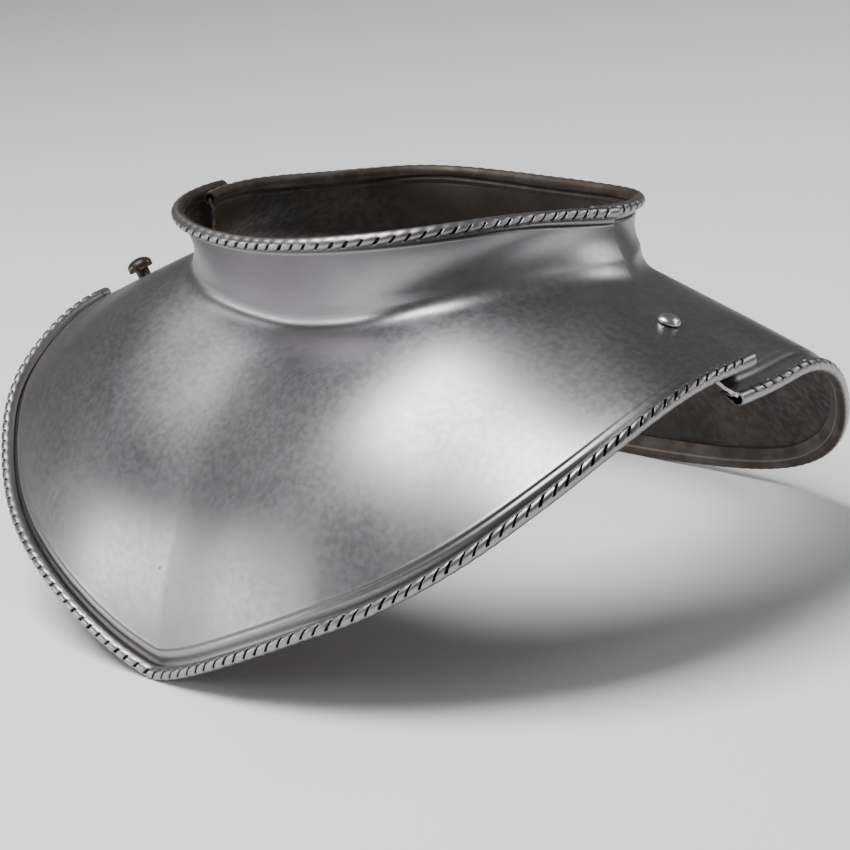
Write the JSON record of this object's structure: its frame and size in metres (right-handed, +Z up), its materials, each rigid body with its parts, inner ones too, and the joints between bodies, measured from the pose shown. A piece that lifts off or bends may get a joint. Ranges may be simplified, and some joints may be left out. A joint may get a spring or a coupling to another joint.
{
  "type": "steel gorget",
  "caption": "Plate gorget: a pointed front plate and a rounded back plate with a neck collar and rope-worked rolled edges, hinged on a rivet at one shoulder and closed by a stud.",
  "frame": {"origin": "middle of the bounding box on the surface that the gorget stands on", "axes": "+Z up as it stands, -Y to the pointed front plate, +X to the wearer's left"},
  "size_m": [0.3234, 0.2696, 0.1485],
  "materials": {
    "plate_steel": "satin polished, lightly scratched, dull inside",
    "rivet_steel": "polished head",
    "stud_steel": "dark brown, worn"
  },
  "bodies": {
    "front": {"front_plate": "plate_steel", "pivot_rivet": "rivet_steel"},
    "back": {"back_plate": "plate_steel", "closure_stud": "stud_steel"}
  },
  "joints": [
    {"name": "shoulder_pivot", "type": "hinge", "parent": "front", "child": "back", "pos_m": [0.12373, 0.01783, 0.10491], "axis": [-0.343, -0.2056, -0.9165], "range_deg": [0, 30]}
  ]
}
